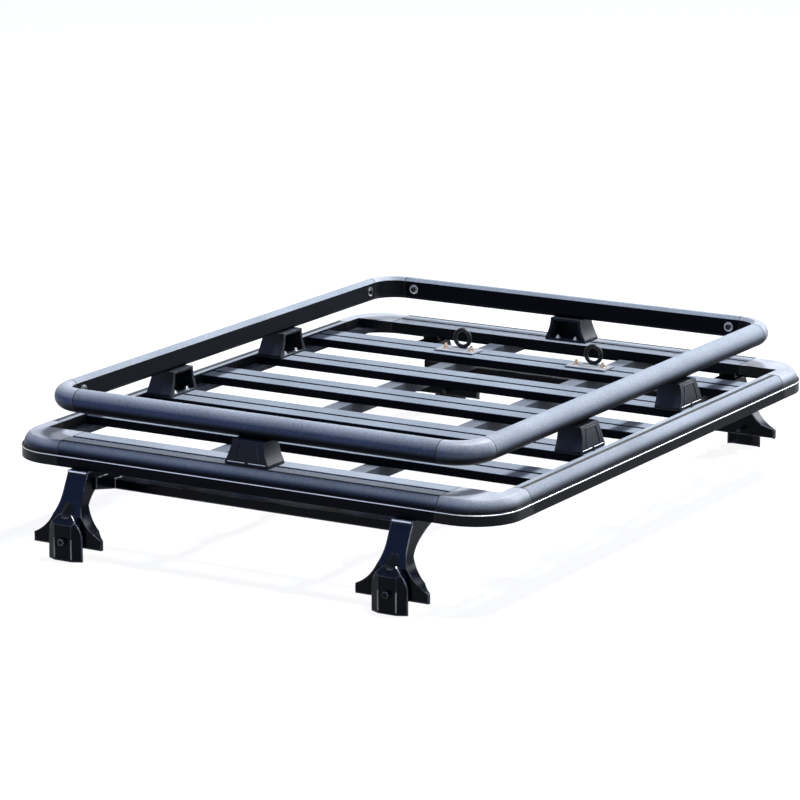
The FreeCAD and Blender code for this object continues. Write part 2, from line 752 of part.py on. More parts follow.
def export():
    """Check every object and write each sub-part to its own file."""
    doc.recompute()
    for item in doc.Objects:
        if any(flag in item.State for flag in ("Invalid", "Error")):
            raise RuntimeError(f"{item.Name} did not build: {item.State}")
    for item in sub_parts:
        if item.Shape.isNull() or not item.Shape.isValid():
            raise RuntimeError(f"{item.Label} has no valid shape")
    os.makedirs("parts", exist_ok=True)
    for item in sub_parts:
        item.Shape.exportStep(f"parts/{item.Label}.step")
        print(f"{item.Label}: {len(item.Shape.Solids)} solid, {item.Shape.Volume / 1000:.1f} cm3")


make_deck_frame()
make_slats()
make_under_bars()
make_top_rail()
make_pedestals()
make_lower_bars()
make_feet()
make_eyes()
export()
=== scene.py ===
"""Dress a vehicle roof basket: finishes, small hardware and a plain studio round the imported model."""

import logging
import math
from abc import ABC, abstractmethod
from dataclasses import dataclass, replace
from enum import Enum
from typing import Any

import bmesh
import bpy
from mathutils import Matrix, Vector
from mathutils.bvhtree import BVHTree


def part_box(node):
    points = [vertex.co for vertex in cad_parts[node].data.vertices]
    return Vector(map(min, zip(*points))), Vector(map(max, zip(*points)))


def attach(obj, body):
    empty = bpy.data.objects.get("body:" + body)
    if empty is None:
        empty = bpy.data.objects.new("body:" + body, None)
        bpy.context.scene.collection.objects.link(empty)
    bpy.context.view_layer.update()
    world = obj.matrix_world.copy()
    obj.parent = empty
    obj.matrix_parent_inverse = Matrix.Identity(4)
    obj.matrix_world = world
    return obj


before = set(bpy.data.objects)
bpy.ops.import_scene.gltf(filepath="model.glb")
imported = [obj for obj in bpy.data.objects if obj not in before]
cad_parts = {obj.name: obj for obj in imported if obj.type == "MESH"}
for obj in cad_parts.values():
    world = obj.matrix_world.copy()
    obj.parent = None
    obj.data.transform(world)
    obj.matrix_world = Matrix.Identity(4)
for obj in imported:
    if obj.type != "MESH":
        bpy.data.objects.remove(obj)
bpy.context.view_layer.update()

LOG = logging.getLogger("roof_basket")
BODY = "root"
MM = 0.001
UP = Vector((0.0, 0.0, 1.0))
BOTH_WAYS = (-1, 1)
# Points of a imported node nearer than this, in millimetres, are one point.
WELD = 0.01
# A direction shorter than this has no length.
NO_LENGTH = 1e-6
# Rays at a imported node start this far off, in metres.
RAY_START = 1.0
# Sides of a round bead.
BEAD_SIDES = 8

# The sRGB curve: its full level, straight start, knee and power.
SRGB_FULL = 255
SRGB_SLOPE = 12.92
SRGB_KNEE = 0.04045
SRGB_OFFSET = 0.055
SRGB_POWER = 2.4
WHITE = (1.0, 1.0, 1.0, 1.0)

# Sockets of a colour Mix node, whose names are shared with its sockets for numbers.
MIX_FIRST = 6
MIX_SECOND = 7
MIX_RESULT = 2


class Slot(Enum):
    """Names of the record's material slots."""

    PROFILE = "coated_profile"
    CASTING = "coated_casting"
    PLASTIC = "moulded_plastic"
    STEEL = "coated_steel"
    BOLT = "plated_bolt"
    EYE = "plated_eye"


class SocketKind(Enum):
    """Kinds of input that the geometry trees take."""

    GEOMETRY = "NodeSocketGeometry"
    LENGTH = "NodeSocketFloat"
    FINISH = "NodeSocketMaterial"


class Side(Enum):
    """Compass of the basket: which way a piece on that side faces outwards."""

    FRONT = (0.0, -1.0)
    BACK = (0.0, 1.0)
    LEFT = (-1.0, 0.0)
    RIGHT = (1.0, 0.0)

    @property
    def outward(self) -> Vector:
        """The level direction away from the middle of the deck."""
        return Vector((self.value[0], self.value[1], 0.0))

    @property
    def along(self) -> Vector:
        """The level direction along that side."""
        return Vector((-self.value[1], self.value[0], 0.0))

    @property
    def axis(self) -> int:
        """The index of the axis that the side runs along."""
        return 0 if self.value[0] == 0.0 else 1

    def node(self, family: str) -> str:
        """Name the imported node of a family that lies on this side."""
        return f"{family}_{self.name.lower()}"


def linear(hex_code: str) -> tuple[float, float, float, float]:
    """Turn an sRGB hex value into a linear colour.

    Args:
        hex_code: Six hex digits.

    Returns:
        Linear red, green, blue and an alpha of one.
    """
    channels = []
    for value in bytes.fromhex(hex_code):
        share = value / SRGB_FULL
        if share <= SRGB_KNEE:
            channels.append(share / SRGB_SLOPE)
        else:
            channels.append(((share + SRGB_OFFSET) / (1 + SRGB_OFFSET)) ** SRGB_POWER)
    return (channels[0], channels[1], channels[2], 1.0)


def add_node(tree: bpy.types.NodeTree, kind: str, settings: dict[str, Any] | None = None,
             inputs: dict[str | int, Any] | None = None) -> bpy.types.Node:
    """Add a node with its settings and its inputs, each a fixed value or a link.

    Args:
        tree: The tree that gets the node.
        kind: Blender's name for the kind of node.
        settings: Properties of the node by name.
        inputs: Input sockets by name or index, each with a value, an output socket or a list of them.

    Returns:
        The new node.
    """
    node = tree.nodes.new(kind)
    for name, value in (settings or {}).items():
        setattr(node, name, value)
    for key, value in (inputs or {}).items():
        socket = node.inputs[key]
        if isinstance(value, list):
            for source in value:
                tree.links.new(source, socket)
        elif isinstance(value, bpy.types.NodeSocket):
            tree.links.new(value, socket)
        else:
            socket.default_value = value
    return node


@dataclass(frozen=True, kw_only=True)
class BlackPaintAndShadeArea:
    """Where a coat is painted black, in millimetres: past two levels, and on inner upright faces. This is
    painted shade on the profiles and slats, and the rings' own black paint on the tie-down plates.
    """

    below: float = 0.0
    fade: float = 0.2
    above: float = 1000.0
    inside: tuple[float, float] = (0.0, 0.0)
    upright: float = 0.35
    tone: str = "0a0d12"

    def share(self, tree: bpy.types.NodeTree, place: bpy.types.NodeSocket,
              normal: bpy.types.NodeSocket) -> bpy.types.NodeSocket:
        """Find where the coat is painted black: painted shade on the profiles and slats, the rings' own
        black paint on the tie-down plates.

        Args:
            tree: The material's tree.
            place: Object coordinates.
            normal: The face's own normal.

        Returns:
            A socket that is one where the coat is black.
        """
        spot = add_node(tree, "ShaderNodeSeparateXYZ", inputs={"Vector": place}).outputs
        tilt = add_node(tree, "ShaderNodeSeparateXYZ", inputs={"Vector": normal}).outputs["Z"]
        half_x, half_y = self.inside
        inside = None
        for value, limit in ((spot["X"], half_x * MM), (spot["Y"], half_y * MM), (tilt, self.upright)):
            size = add_node(tree, "ShaderNodeMath", {"operation": "ABSOLUTE"}, {0: value}).outputs["Value"]
            test = add_node(tree, "ShaderNodeMath", {"operation": "LESS_THAN"}, {0: size, 1: limit})
            near = test.outputs["Value"]
            if inside is not None:
                both = add_node(tree, "ShaderNodeMath", {"operation": "MULTIPLY"}, {0: inside, 1: near})
                near = both.outputs["Value"]
            inside = near
        below = add_node(tree, "ShaderNodeMapRange", {"interpolation_type": "SMOOTHSTEP"}, {
            "Value": spot["Z"], "From Min": self.below * MM, "From Max": (self.below + self.fade) * MM,
            "To Min": 1.0, "To Max": 0.0})
        above = add_node(tree, "ShaderNodeMath", {"operation": "GREATER_THAN"},
                         {0: spot["Z"], 1: self.above * MM})
        ends = add_node(tree, "ShaderNodeMath", {"operation": "MAXIMUM"},
                        {0: above.outputs["Value"], 1: below.outputs["Result"]})
        either = add_node(tree, "ShaderNodeMath", {"operation": "MAXIMUM"},
                          {0: inside, 1: ends.outputs["Value"]})
        return either.outputs["Value"]


@dataclass(frozen=True, kw_only=True)
class Finish:
    """One surface finish: three sRGB tones, its shine, and its patterns with sizes in millimetres."""

    name: str
    base: str
    speck: str
    edge: str
    roughness: float
    roughness_spread: float = 0.08
    metallic: float = 0.0
    specular: float
    grain: float
    grain_depth: float = 0.03
    speck_share: float
    cloud: float
    cloud_share: float
    round_edge: float
    edge_share: float
    edge_shine: float = 0.0
    edge_ior: float = 2.0
    black: BlackPaintAndShadeArea | None = None
    grain_detail: float = 3.0
    grain_roughness: float = 0.6
    cloud_detail: float = 4.0
    cloud_roughness: float = 0.55
    speck_span: tuple[float, float] = (0.42, 0.72)
    noise_span: tuple[float, float] = (0.3, 0.7)
    break_span: tuple[float, float] = (0.35, 0.6)
    turn_span: tuple[float, float] = (0.99, 0.82)
    edge_samples: int = 4

    def edge_wear_and_highlight(self, tree: bpy.types.NodeTree, cloud: bpy.types.NodeSocket,
                  rounded: bpy.types.NodeSocket, normal: bpy.types.NodeSocket) -> bpy.types.NodeSocket:
        """Find the lighter edges, broken up by the cloud pattern: wear on most finishes, a painted highlight
        on the enamel, the nylon and the tie-down plates.

        Args:
            tree: The material's tree.
            cloud: The coarse pattern.
            rounded: The normal with edges rounded off.
            normal: The face's own normal.

        Returns:
            A socket that rises to the edge share along the lighter edges.
        """
        facing = add_node(tree, "ShaderNodeVectorMath", {"operation": "DOT_PRODUCT"},
                          {0: rounded, 1: normal})
        worn_and_highlit = add_node(tree, "ShaderNodeMapRange", inputs={
            "Value": facing.outputs["Value"], "From Min": self.turn_span[0], "From Max": self.turn_span[1],
            "To Min": 0.0, "To Max": self.edge_share})
        broken = add_node(tree, "ShaderNodeMapRange", inputs={
            "Value": cloud, "From Min": self.break_span[0], "From Max": self.break_span[1]})
        wear_and_highlight = add_node(tree, "ShaderNodeMath", {"operation": "MULTIPLY"},
                        {0: worn_and_highlit.outputs["Result"], 1: broken.outputs["Result"]})
        return wear_and_highlight.outputs["Value"]

    def body_tone(self, tree: bpy.types.NodeTree, grain: bpy.types.NodeSocket,
                  cloud: bpy.types.NodeSocket) -> bpy.types.NodeSocket:
        """Mix the base tone with its specks and its slow drift.

        Args:
            tree: The material's tree.
            grain: The fine pattern.
            cloud: The coarse pattern.

        Returns:
            A colour socket.
        """
        specks = add_node(tree, "ShaderNodeMapRange", inputs={
            "Value": grain, "From Min": self.speck_span[0], "From Max": self.speck_span[1],
            "To Min": 0.0, "To Max": self.speck_share})
        drift = add_node(tree, "ShaderNodeMapRange", inputs={
            "Value": cloud, "From Min": self.noise_span[0], "From Max": self.noise_span[1],
            "To Min": 0.0, "To Max": self.cloud_share})
        lift = add_node(tree, "ShaderNodeMath", {"operation": "ADD", "use_clamp": True},
                        {0: specks.outputs["Result"], 1: drift.outputs["Result"]})
        body = add_node(tree, "ShaderNodeMix", {"data_type": "RGBA"}, {
            "Factor": lift.outputs["Value"], MIX_FIRST: linear(self.base), MIX_SECOND: linear(self.speck)})
        return body.outputs[MIX_RESULT]

    def material(self) -> bpy.types.Material:
        """Build the finish once and hand out the same material after that.

        Returns:
            The material.
        """
        found = bpy.data.materials.get(self.name)
        if found is not None:
            return found
        material = bpy.data.materials.new(self.name)
        material.use_nodes = True
        tree = material.node_tree
        tree.nodes.clear()
        place = add_node(tree, "ShaderNodeTexCoord").outputs["Object"]
        normal = add_node(tree, "ShaderNodeNewGeometry").outputs["True Normal"]
        grain = add_node(tree, "ShaderNodeTexNoise", inputs={
            "Vector": place, "Scale": 1 / (self.grain * MM), "Detail": self.grain_detail,
            "Roughness": self.grain_roughness}).outputs["Fac"]
        cloud = add_node(tree, "ShaderNodeTexNoise", inputs={
            "Vector": place, "Scale": 1 / (self.cloud * MM), "Detail": self.cloud_detail,
            "Roughness": self.cloud_roughness}).outputs["Fac"]
        rounded = add_node(tree, "ShaderNodeBevel", {"samples": self.edge_samples},
                           {"Radius": self.round_edge * MM}).outputs["Normal"]
        wear_and_highlight = self.edge_wear_and_highlight(tree, cloud, rounded, normal)
        # Lighter edges: wear on most finishes, a painted highlight on the enamel, the nylon and the tie-down
        # plates.
        colour = add_node(tree, "ShaderNodeMix", {"data_type": "RGBA"}, {
            "Factor": wear_and_highlight, MIX_FIRST: self.body_tone(tree, grain, cloud), MIX_SECOND: linear(self.edge)})
        # Painted shade on the profiles and slats, and the rings' own black paint, both mixed in black where
        # the area says.
        if self.black is not None:
            colour = add_node(tree, "ShaderNodeMix", {"data_type": "RGBA"}, {
                "Factor": self.black.share(tree, place, normal), MIX_FIRST: colour.outputs[MIX_RESULT],
                MIX_SECOND: linear(self.black.tone)})
        rough = add_node(tree, "ShaderNodeMapRange", inputs={
            "Value": grain, "From Min": self.noise_span[0], "From Max": self.noise_span[1],
            "To Min": self.roughness - self.roughness_spread,
            "To Max": self.roughness + self.roughness_spread})
        relief = add_node(tree, "ShaderNodeBump", inputs={
            "Strength": 1.0, "Distance": self.grain_depth * MM, "Height": grain, "Normal": rounded})
        sockets = {
            "Base Color": colour.outputs[MIX_RESULT], "Metallic": self.metallic,
            "Roughness": rough.outputs["Result"], "Specular IOR Level": self.specular,
            "Normal": relief.outputs["Normal"]}
        if self.edge_shine > 0:
            shine = add_node(tree, "ShaderNodeMapRange", inputs={
                "Value": wear_and_highlight, "From Min": 0.0, "From Max": self.edge_share,
                "To Min": 0.0, "To Max": self.edge_shine})
            sockets |= {
                "Coat Weight": shine.outputs["Result"], "Coat Roughness": self.roughness,
                "Coat IOR": self.edge_ior, "Coat Normal": relief.outputs["Normal"]}
        shader = add_node(tree, "ShaderNodeBsdfPrincipled", inputs=sockets)
        add_node(tree, "ShaderNodeOutputMaterial", inputs={"Surface": shader.outputs["BSDF"]})
        return material


# Painted shade: the coats darken to black towards and below the ledge, towards the bottom of the raised
# rail, and on the inner upright webs.
DECK_PAINTED_SHADE = BlackPaintAndShadeArea(below=196.4, fade=18.0, inside=(526.5, 612.5))
RAIL_PAINTED_SHADE = BlackPaintAndShadeArea(below=286.0, fade=13.0, inside=(470.0, 642.0))

# Textured powder coat on aluminium profile: charcoal in full light, its speckle drawn coarser than the grit,
# with the deck's painted shade.
DECK_COAT = Finish(
    name="charcoal_powder_coat_on_deck_profile", base="596068", speck="888e98", edge="a4a9b1",
    roughness=0.50, specular=0.04, grain=3.0, grain_depth=0.05, speck_share=0.42,
    cloud=160.0, cloud_share=0.25, round_edge=1.4, edge_share=0.3, black=DECK_PAINTED_SHADE,
)
# The same coat on the raised rail, with its painted shade from a higher level down.
RAIL_COAT = replace(DECK_COAT, name="charcoal_powder_coat_on_raised_profile", black=RAIL_PAINTED_SHADE)
# The same coat on the slats, darker and with a finer speckle, whose edges and slots carry painted shade in
# black.
SLAT_COAT = Finish(
    name="charcoal_powder_coat_on_slat", base="4a515a", speck="727a84", edge="9aa1aa",
    roughness=0.52, specular=0.03, grain=2.6, grain_depth=0.08, speck_share=0.6,
    cloud=160.0, cloud_share=0.3, round_edge=0.8, edge_share=0.3, black=BlackPaintAndShadeArea(below=216.6),
)
# The same coat over a cast corner: lighter and smoother, with the mottle of the casting under it and the
# deck's painted shade.
DECK_CAST = Finish(
    name="grey_powder_coat_on_deck_casting", base="636870", speck="8c9199", edge="aaaeb6",
    roughness=0.42, specular=0.10, grain=3.4, grain_depth=0.06, speck_share=0.5,
    cloud=60.0, cloud_share=0.35, round_edge=1.6, edge_share=0.35, black=DECK_PAINTED_SHADE,
)
# The casting's coat on the raised corners, with the raised rail's painted shade.
RAIL_CAST = replace(DECK_CAST, name="grey_powder_coat_on_raised_casting", black=RAIL_PAINTED_SHADE)
# Plain grey coat on the bars below the slats: darker than the deck, with long soft streaks.
BAR_COAT = Finish(
    name="grey_coat_on_bar", base="3f444b", speck="5c626a", edge="858b93",
    roughness=0.45, specular=0.05, grain=4.0, grain_depth=0.04, speck_share=0.4,
    cloud=120.0, cloud_share=0.4, round_edge=1.0, edge_share=0.3,
)
# Black glass-filled nylon, moulded: even and dull, with a fine stipple and pale edges painted as a
# highlight.
MOULDED_NYLON = Finish(
    name="black_moulded_nylon", base="15191e", speck="2a2f37", edge="98a0a9",
    roughness=0.42, roughness_spread=0.06, specular=0.12, grain=2.6, grain_depth=0.05, speck_share=0.4,
    cloud=40.0, cloud_share=0.15, round_edge=1.6, edge_share=0.55,
)
# Gloss black stove enamel on pressed steel: smooth, a long orange peel, a light-blue painted highlight along
# its rolled edges, where a glossier coat also catches the light.
STOVE_ENAMEL = Finish(
    name="black_enamel_on_pressed_steel", base="04070d", speck="0b1424", edge="8796b4",
    roughness=0.22, roughness_spread=0.03, specular=0.06, grain=26.0, grain_depth=0.10, speck_share=0.3,
    cloud=45.0, cloud_share=0.2, round_edge=4.5, edge_share=0.30, edge_shine=1.0,
)
# Bright zinc plate on steel fixings: pale metal with a fine tumbled haze.
ZINC_PLATE = Finish(
    name="bright_zinc_plate", base="b9bcc2", speck="d7dae0", edge="eceef2",
    roughness=0.30, metallic=1.0, specular=0.5, grain=2.0, speck_share=0.5,
    cloud=20.0, cloud_share=0.3, round_edge=0.5, edge_share=0.4,
)
# Black oxide on small bolts: dark steel with a low sheen.
BLACK_OXIDE = Finish(
    name="black_oxide_on_steel", base="15171b", speck="262a31", edge="5c626b",
    roughness=0.34, roughness_spread=0.06, metallic=0.4, specular=0.4, grain=2.0, grain_depth=0.02,
    speck_share=0.4, cloud=20.0, cloud_share=0.3, round_edge=0.5, edge_share=0.4,
)
# Grey plated tie-down plates with a painted highlight along their edges, each with a black enamelled ring
# above.
EYE_PLATE = Finish(
    name="grey_plate_with_black_ring", base="5a5e64", speck="84888e", edge="e6e8eb",
    roughness=0.34, specular=0.2, grain=2.4, speck_share=0.4,
    cloud=24.0, cloud_share=0.4, round_edge=1.0, edge_share=0.9, black=BlackPaintAndShadeArea(above=222.4),
)
# Warm passivated zinc on the tie-down studs: a pale brass tone.
WARM_ZINC = Finish(
    name="warm_passivated_zinc", base="c2a488", speck="e0cfba", edge="fbf3ea",
    roughness=0.30, metallic=1.0, specular=0.5, grain=2.0, speck_share=0.5,
    cloud=16.0, cloud_share=0.4, round_edge=0.4, edge_share=0.4,
)
# Pale satin aluminium for beads that stand in for highlights: a painted highlight along the ledge and on the
# stands' and the feet's lips.
PAINTED_HIGHLIGHT_BEAD = Finish(
    name="satin_aluminium_highlight_bead", base="a9aeb6", speck="cdd2d8", edge="eceef1",
    roughness=0.34, metallic=1.0, specular=0.5, grain=3.0, speck_share=0.4,
    cloud=70.0, cloud_share=0.5, round_edge=0.5, edge_share=0.2,
)
# A painted khaki highlight along the claws' pressed ribs: dull and pale against the black.
PAINTED_RIB_HIGHLIGHT = Finish(
    name="khaki_highlight_on_rib", base="7d7c72", speck="a3a194", edge="c0beb2",
    roughness=0.42, metallic=0.2, specular=0.4, grain=3.0, speck_share=0.5,
    cloud=24.0, cloud_share=0.5, round_edge=0.6, edge_share=0.3,
)
# Black joint compound between the castings and the profiles: dull and dark. The same black draws painted
# shade in the rails' grooves.
JOINT_AND_GROOVE_SHADE = Finish(
    name="black_joint_compound_and_groove_shade", base="0c0d10", speck="15171b", edge="1c1e22",
    roughness=0.7, roughness_spread=0.05, specular=0.3, grain=2.0, speck_share=0.3,
    cloud=20.0, cloud_share=0.2, round_edge=0.3, edge_share=0.1,
)


def link_piece(name: str, mesh: bpy.types.Mesh, finish: Finish) -> bpy.types.Object:
    """Put a finished mesh into the scene with one finish.

    Args:
        name: Name of the piece.
        mesh: Its mesh, with its place in it.
        finish: The finish that it wears.

    Returns:
        The new object, at the origin.
    """
    piece = bpy.data.objects.new(name, mesh)
    mesh.materials.clear()
    mesh.materials.append(finish.material())
    bpy.context.scene.collection.objects.link(piece)
    return piece


def settle(piece: bpy.types.Object) -> None:
    """Fix a piece to the basket and report it.

    Args:
        piece: The piece, with its modifiers already run.
    """
    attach(piece, BODY)
    LOG.info("added %s, %d faces", piece.name, len(piece.data.polygons))


def coat_nodes(prefix: str, finish: Finish) -> None:
    """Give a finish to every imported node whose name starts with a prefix.

    Args:
        prefix: Start of the nodes' names.
        finish: The finish that they wear.
    """
    for name, node in sorted(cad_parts.items()):
        if name.startswith(prefix):
            node.data.materials.clear()
            node.data.materials.append(finish.material())
            LOG.info("dressed %s in %s", name, finish.name)


def merged_copy(node: str) -> bmesh.types.BMesh:
    """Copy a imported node's mesh with its loose triangles joined up.

    Args:
        node: Name of the node.

    Returns:
        A mesh that the caller frees.
    """
    copy = bmesh.new()
    copy.from_mesh(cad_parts[node].data)
    bmesh.ops.remove_doubles(copy, verts=copy.verts, dist=WELD * MM)
    return copy


def surface_of(node: str) -> BVHTree:
    """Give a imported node's surface, to cast rays at.

    Args:
        node: Name of the node.

    Returns:
        The surface.
    """
    copy = merged_copy(node)
    surface = BVHTree.FromBMesh(copy)
    copy.free()
    return surface


def new_tree(name: str, inputs: dict[str, SocketKind], output: str) -> bpy.types.NodeTree:
    """Start a geometry tree.

    Args:
        name: Name of the tree.
        inputs: Kind of each input by name.
        output: Name of its one output.

    Returns:
        The tree, with no nodes yet.
    """
    tree = bpy.data.node_groups.new(name, "GeometryNodeTree")
    for label, kind in inputs.items():
        tree.interface.new_socket(label, in_out="INPUT", socket_type=kind.value)
    tree.interface.new_socket(output, in_out="OUTPUT", socket_type=SocketKind.GEOMETRY.value)
    return tree


def end_tree(tree: bpy.types.NodeTree, shape: bpy.types.NodeSocket, finish: bpy.types.NodeSocket,
             output: str) -> None:
    """Make a tree's shape real, give it its finish and send it out.

    Args:
        tree: The tree.
        shape: The shape, with instances in it or not.
        finish: The input that holds the finish.
        output: Name of the tree's output.
    """
    real = add_node(tree, "GeometryNodeRealizeInstances", inputs={"Geometry": shape})
    clad = add_node(tree, "GeometryNodeSetMaterial", inputs={
        "Geometry": real.outputs["Geometry"], "Material": finish})
    add_node(tree, "NodeGroupOutput", inputs={output: clad.outputs["Geometry"]})


def run_tree(piece: bpy.types.Object, tree: bpy.types.NodeTree, values: dict[str, Any]) -> None:
    """Run a geometry tree on a piece and keep its result as a plain mesh.

    Args:
        piece: The piece whose mesh is the tree's first input.
        tree: The tree.
        values: The tree's other inputs by name.
    """
    modifier = piece.modifiers.new(tree.name, "NODES")
    modifier.node_group = tree
    for item in tree.interface.items_tree:
        if item.in_out == "INPUT" and item.name in values:
            modifier[item.identifier] = values[item.name]
    bpy.context.view_layer.update()
    depsgraph = bpy.context.evaluated_depsgraph_get()
    mesh = bpy.data.meshes.new_from_object(piece.evaluated_get(depsgraph))
    piece.modifiers.clear()
    piece.data = mesh
    mesh.name = piece.name


@dataclass(frozen=True, kw_only=True)
class Fixing:
    """Sizes in millimetres of a washer, a hexagon head and the end of a stud, where it has them."""

    washer_radius: float = 0.0
    washer_height: float = 0.0
    washer_sides: int = 32
    head_radius: float = 0.0
    head_height: float = 0.0
    head_sides: int = 6
    stud_radius: float = 0.0
    stud_height: float = 0.0
    stud_sides: int = 20

    def tree(self) -> bpy.types.NodeTree:
        """Give the node tree that sets one fixing on every point along its facing direction.

        Returns:
            The tree, shared by all fixings with the same parts.
        """
        sides = {"Washer": self.washer_sides, "Head": self.head_sides, "Stud": self.stud_sides}
        radii = {"Washer": self.washer_radius, "Head": self.head_radius, "Stud": self.stud_radius}
        shown = [label for label in sides if radii[label] > 0]
        name = "_".join(["fixing", *shown]).lower()
        found = bpy.data.node_groups.get(name)
        if found is not None:
            return found
        inputs = {"Points": SocketKind.GEOMETRY}
        for label in shown:
            inputs[f"{label} Radius"] = SocketKind.LENGTH
            inputs[f"{label} Height"] = SocketKind.LENGTH
        inputs["Finish"] = SocketKind.FINISH
        tree = new_tree(name, inputs, "Fixings")
        given = add_node(tree, "NodeGroupInput").outputs
        parts = []
        base = None
        for label in shown:
            height = given[f"{label} Height"]
            body = add_node(tree, "GeometryNodeMeshCylinder", inputs={
                "Vertices": sides[label], "Radius": given[f"{label} Radius"], "Depth": height})
            half = add_node(tree, "ShaderNodeMath", {"operation": "MULTIPLY"}, {0: height, 1: 0.5})
            middle = half.outputs["Value"]
            if base is not None:
                raised = add_node(tree, "ShaderNodeMath", {"operation": "ADD"}, {0: base, 1: middle})
                middle = raised.outputs["Value"]
                top = add_node(tree, "ShaderNodeMath", {"operation": "ADD"}, {0: base, 1: height})
                base = top.outputs["Value"]
            else:
                base = height
            up = add_node(tree, "ShaderNodeCombineXYZ", inputs={"Z": middle})
            seated = add_node(tree, "GeometryNodeTransform", inputs={
                "Geometry": body.outputs["Mesh"], "Translation": up.outputs["Vector"]})
            parts.append(seated.outputs["Geometry"])
        joined = add_node(tree, "GeometryNodeJoinGeometry", inputs={"Geometry": parts})
        facing = add_node(tree, "GeometryNodeInputNamedAttribute", {"data_type": "FLOAT_VECTOR"},
                          {"Name": "facing"})
        turned = add_node(tree, "FunctionNodeAlignRotationToVector", {"axis": "Z"},
                          {"Vector": facing.outputs["Attribute"]})
        placed = add_node(tree, "GeometryNodeInstanceOnPoints", inputs={
            "Points": given["Points"], "Instance": joined.outputs["Geometry"],
            "Rotation": turned.outputs["Rotation"]})
        end_tree(tree, placed.outputs["Instances"], given["Finish"], "Fixings")
        return tree

    def scatter(self, name: str, spots: list[tuple[Vector, Vector]], finish: Finish) -> bpy.types.Object:
        """Set one fixing on every spot.

        Args:
            name: Name of the piece.
            spots: Seat of each fixing and the direction that it stands out in.
            finish: The finish that they wear.

        Returns:
            One piece that holds them all.
        """
        mesh = bpy.data.meshes.new(name)
        mesh.from_pydata([seat for seat, _ in spots], [], [])
        facing = mesh.attributes.new("facing", "FLOAT_VECTOR", "POINT")
        for index, (_, direction) in enumerate(spots):
            facing.data[index].vector = direction
        piece = link_piece(name, mesh, finish)
        run_tree(piece, self.tree(), {
            "Washer Radius": self.washer_radius * MM, "Washer Height": self.washer_height * MM,
            "Head Radius": self.head_radius * MM, "Head Height": self.head_height * MM,
            "Stud Radius": self.stud_radius * MM, "Stud Height": self.stud_height * MM,
            "Finish": finish.material()})
        return piece


def bead_tree() -> bpy.types.NodeTree:
    """Give the node tree that lays a round bead along every chain of edges.

    Returns:
        The tree, built once.
    """
    name = "bead_on_path"
    found = bpy.data.node_groups.get(name)
    if found is not None:
        return found
    inputs = {"Path": SocketKind.GEOMETRY, "Radius": SocketKind.LENGTH, "Finish": SocketKind.FINISH}
    tree = new_tree(name, inputs, "Bead")
    given = add_node(tree, "NodeGroupInput").outputs
    path = add_node(tree, "GeometryNodeMeshToCurve", inputs={"Mesh": given["Path"]})
    ring = add_node(tree, "GeometryNodeCurvePrimitiveCircle", inputs={
        "Resolution": BEAD_SIDES, "Radius": given["Radius"]})
    bead = add_node(tree, "GeometryNodeCurveToMesh", inputs={
        "Curve": path.outputs["Curve"], "Profile Curve": ring.outputs["Curve"], "Fill Caps": True})
    smooth = add_node(tree, "GeometryNodeSetShadeSmooth", inputs={"Geometry": bead.outputs["Mesh"]})
    end_tree(tree, smooth.outputs["Geometry"], given["Finish"], "Bead")
    return tree


def lay_beads(name: str, paths: list[list[Vector]], closed: bool, radius: float,
              finish: Finish) -> bpy.types.Object:
    """Lay a round bead along each path.

    Args:
        name: Name of the piece.
        paths: Points of each path.
        closed: Whether each path runs back to its first point.
        radius: Radius of the bead in millimetres.
        finish: The finish that it wears.

    Returns:
        One piece that holds all the beads.
    """
    points: list[Vector] = []
    edges: list[tuple[int, int]] = []
    for path in paths:
        first = len(points)
        points.extend(path)
        edges.extend((first + index, first + index + 1) for index in range(len(path) - 1))
        if closed:
            edges.append((len(points) - 1, first))
    mesh = bpy.data.meshes.new(name)
    mesh.from_pydata(points, edges, [])
    piece = link_piece(name, mesh, finish)
    run_tree(piece, bead_tree(), {"Radius": radius * MM, "Finish": finish.material()})
    return piece


def rounded_loop(half_x: float, half_y: float, radius: float, level: float, steps: int) -> list[Vector]:
    """Give a level rectangle with round corners, in metres.

    Args:
        half_x: Half its size along X.
        half_y: Half its size along Y.
        radius: Radius of its corners.
        level: Its height.
        steps: Points in each corner, less one.

    Returns:
        Its points in order.
    """
    points = []
    for quarter, (side_x, side_y) in enumerate(((1, 1), (-1, 1), (-1, -1), (1, -1))):
        for step in range(steps + 1):
            angle = math.pi / 2 * (quarter + step / steps)
            x = (half_x - radius) * side_x + radius * math.cos(angle)
            y = (half_y - radius) * side_y + radius * math.sin(angle)
            points.append(Vector((x, y, level)))
    return points


class SubAssembly(ABC):
    """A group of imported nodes, with the small pieces that are added to them."""

    @abstractmethod
    def dress(self) -> None:
        """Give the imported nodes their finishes."""

    def build(self) -> None:
        """Add the small pieces, where the group has any."""


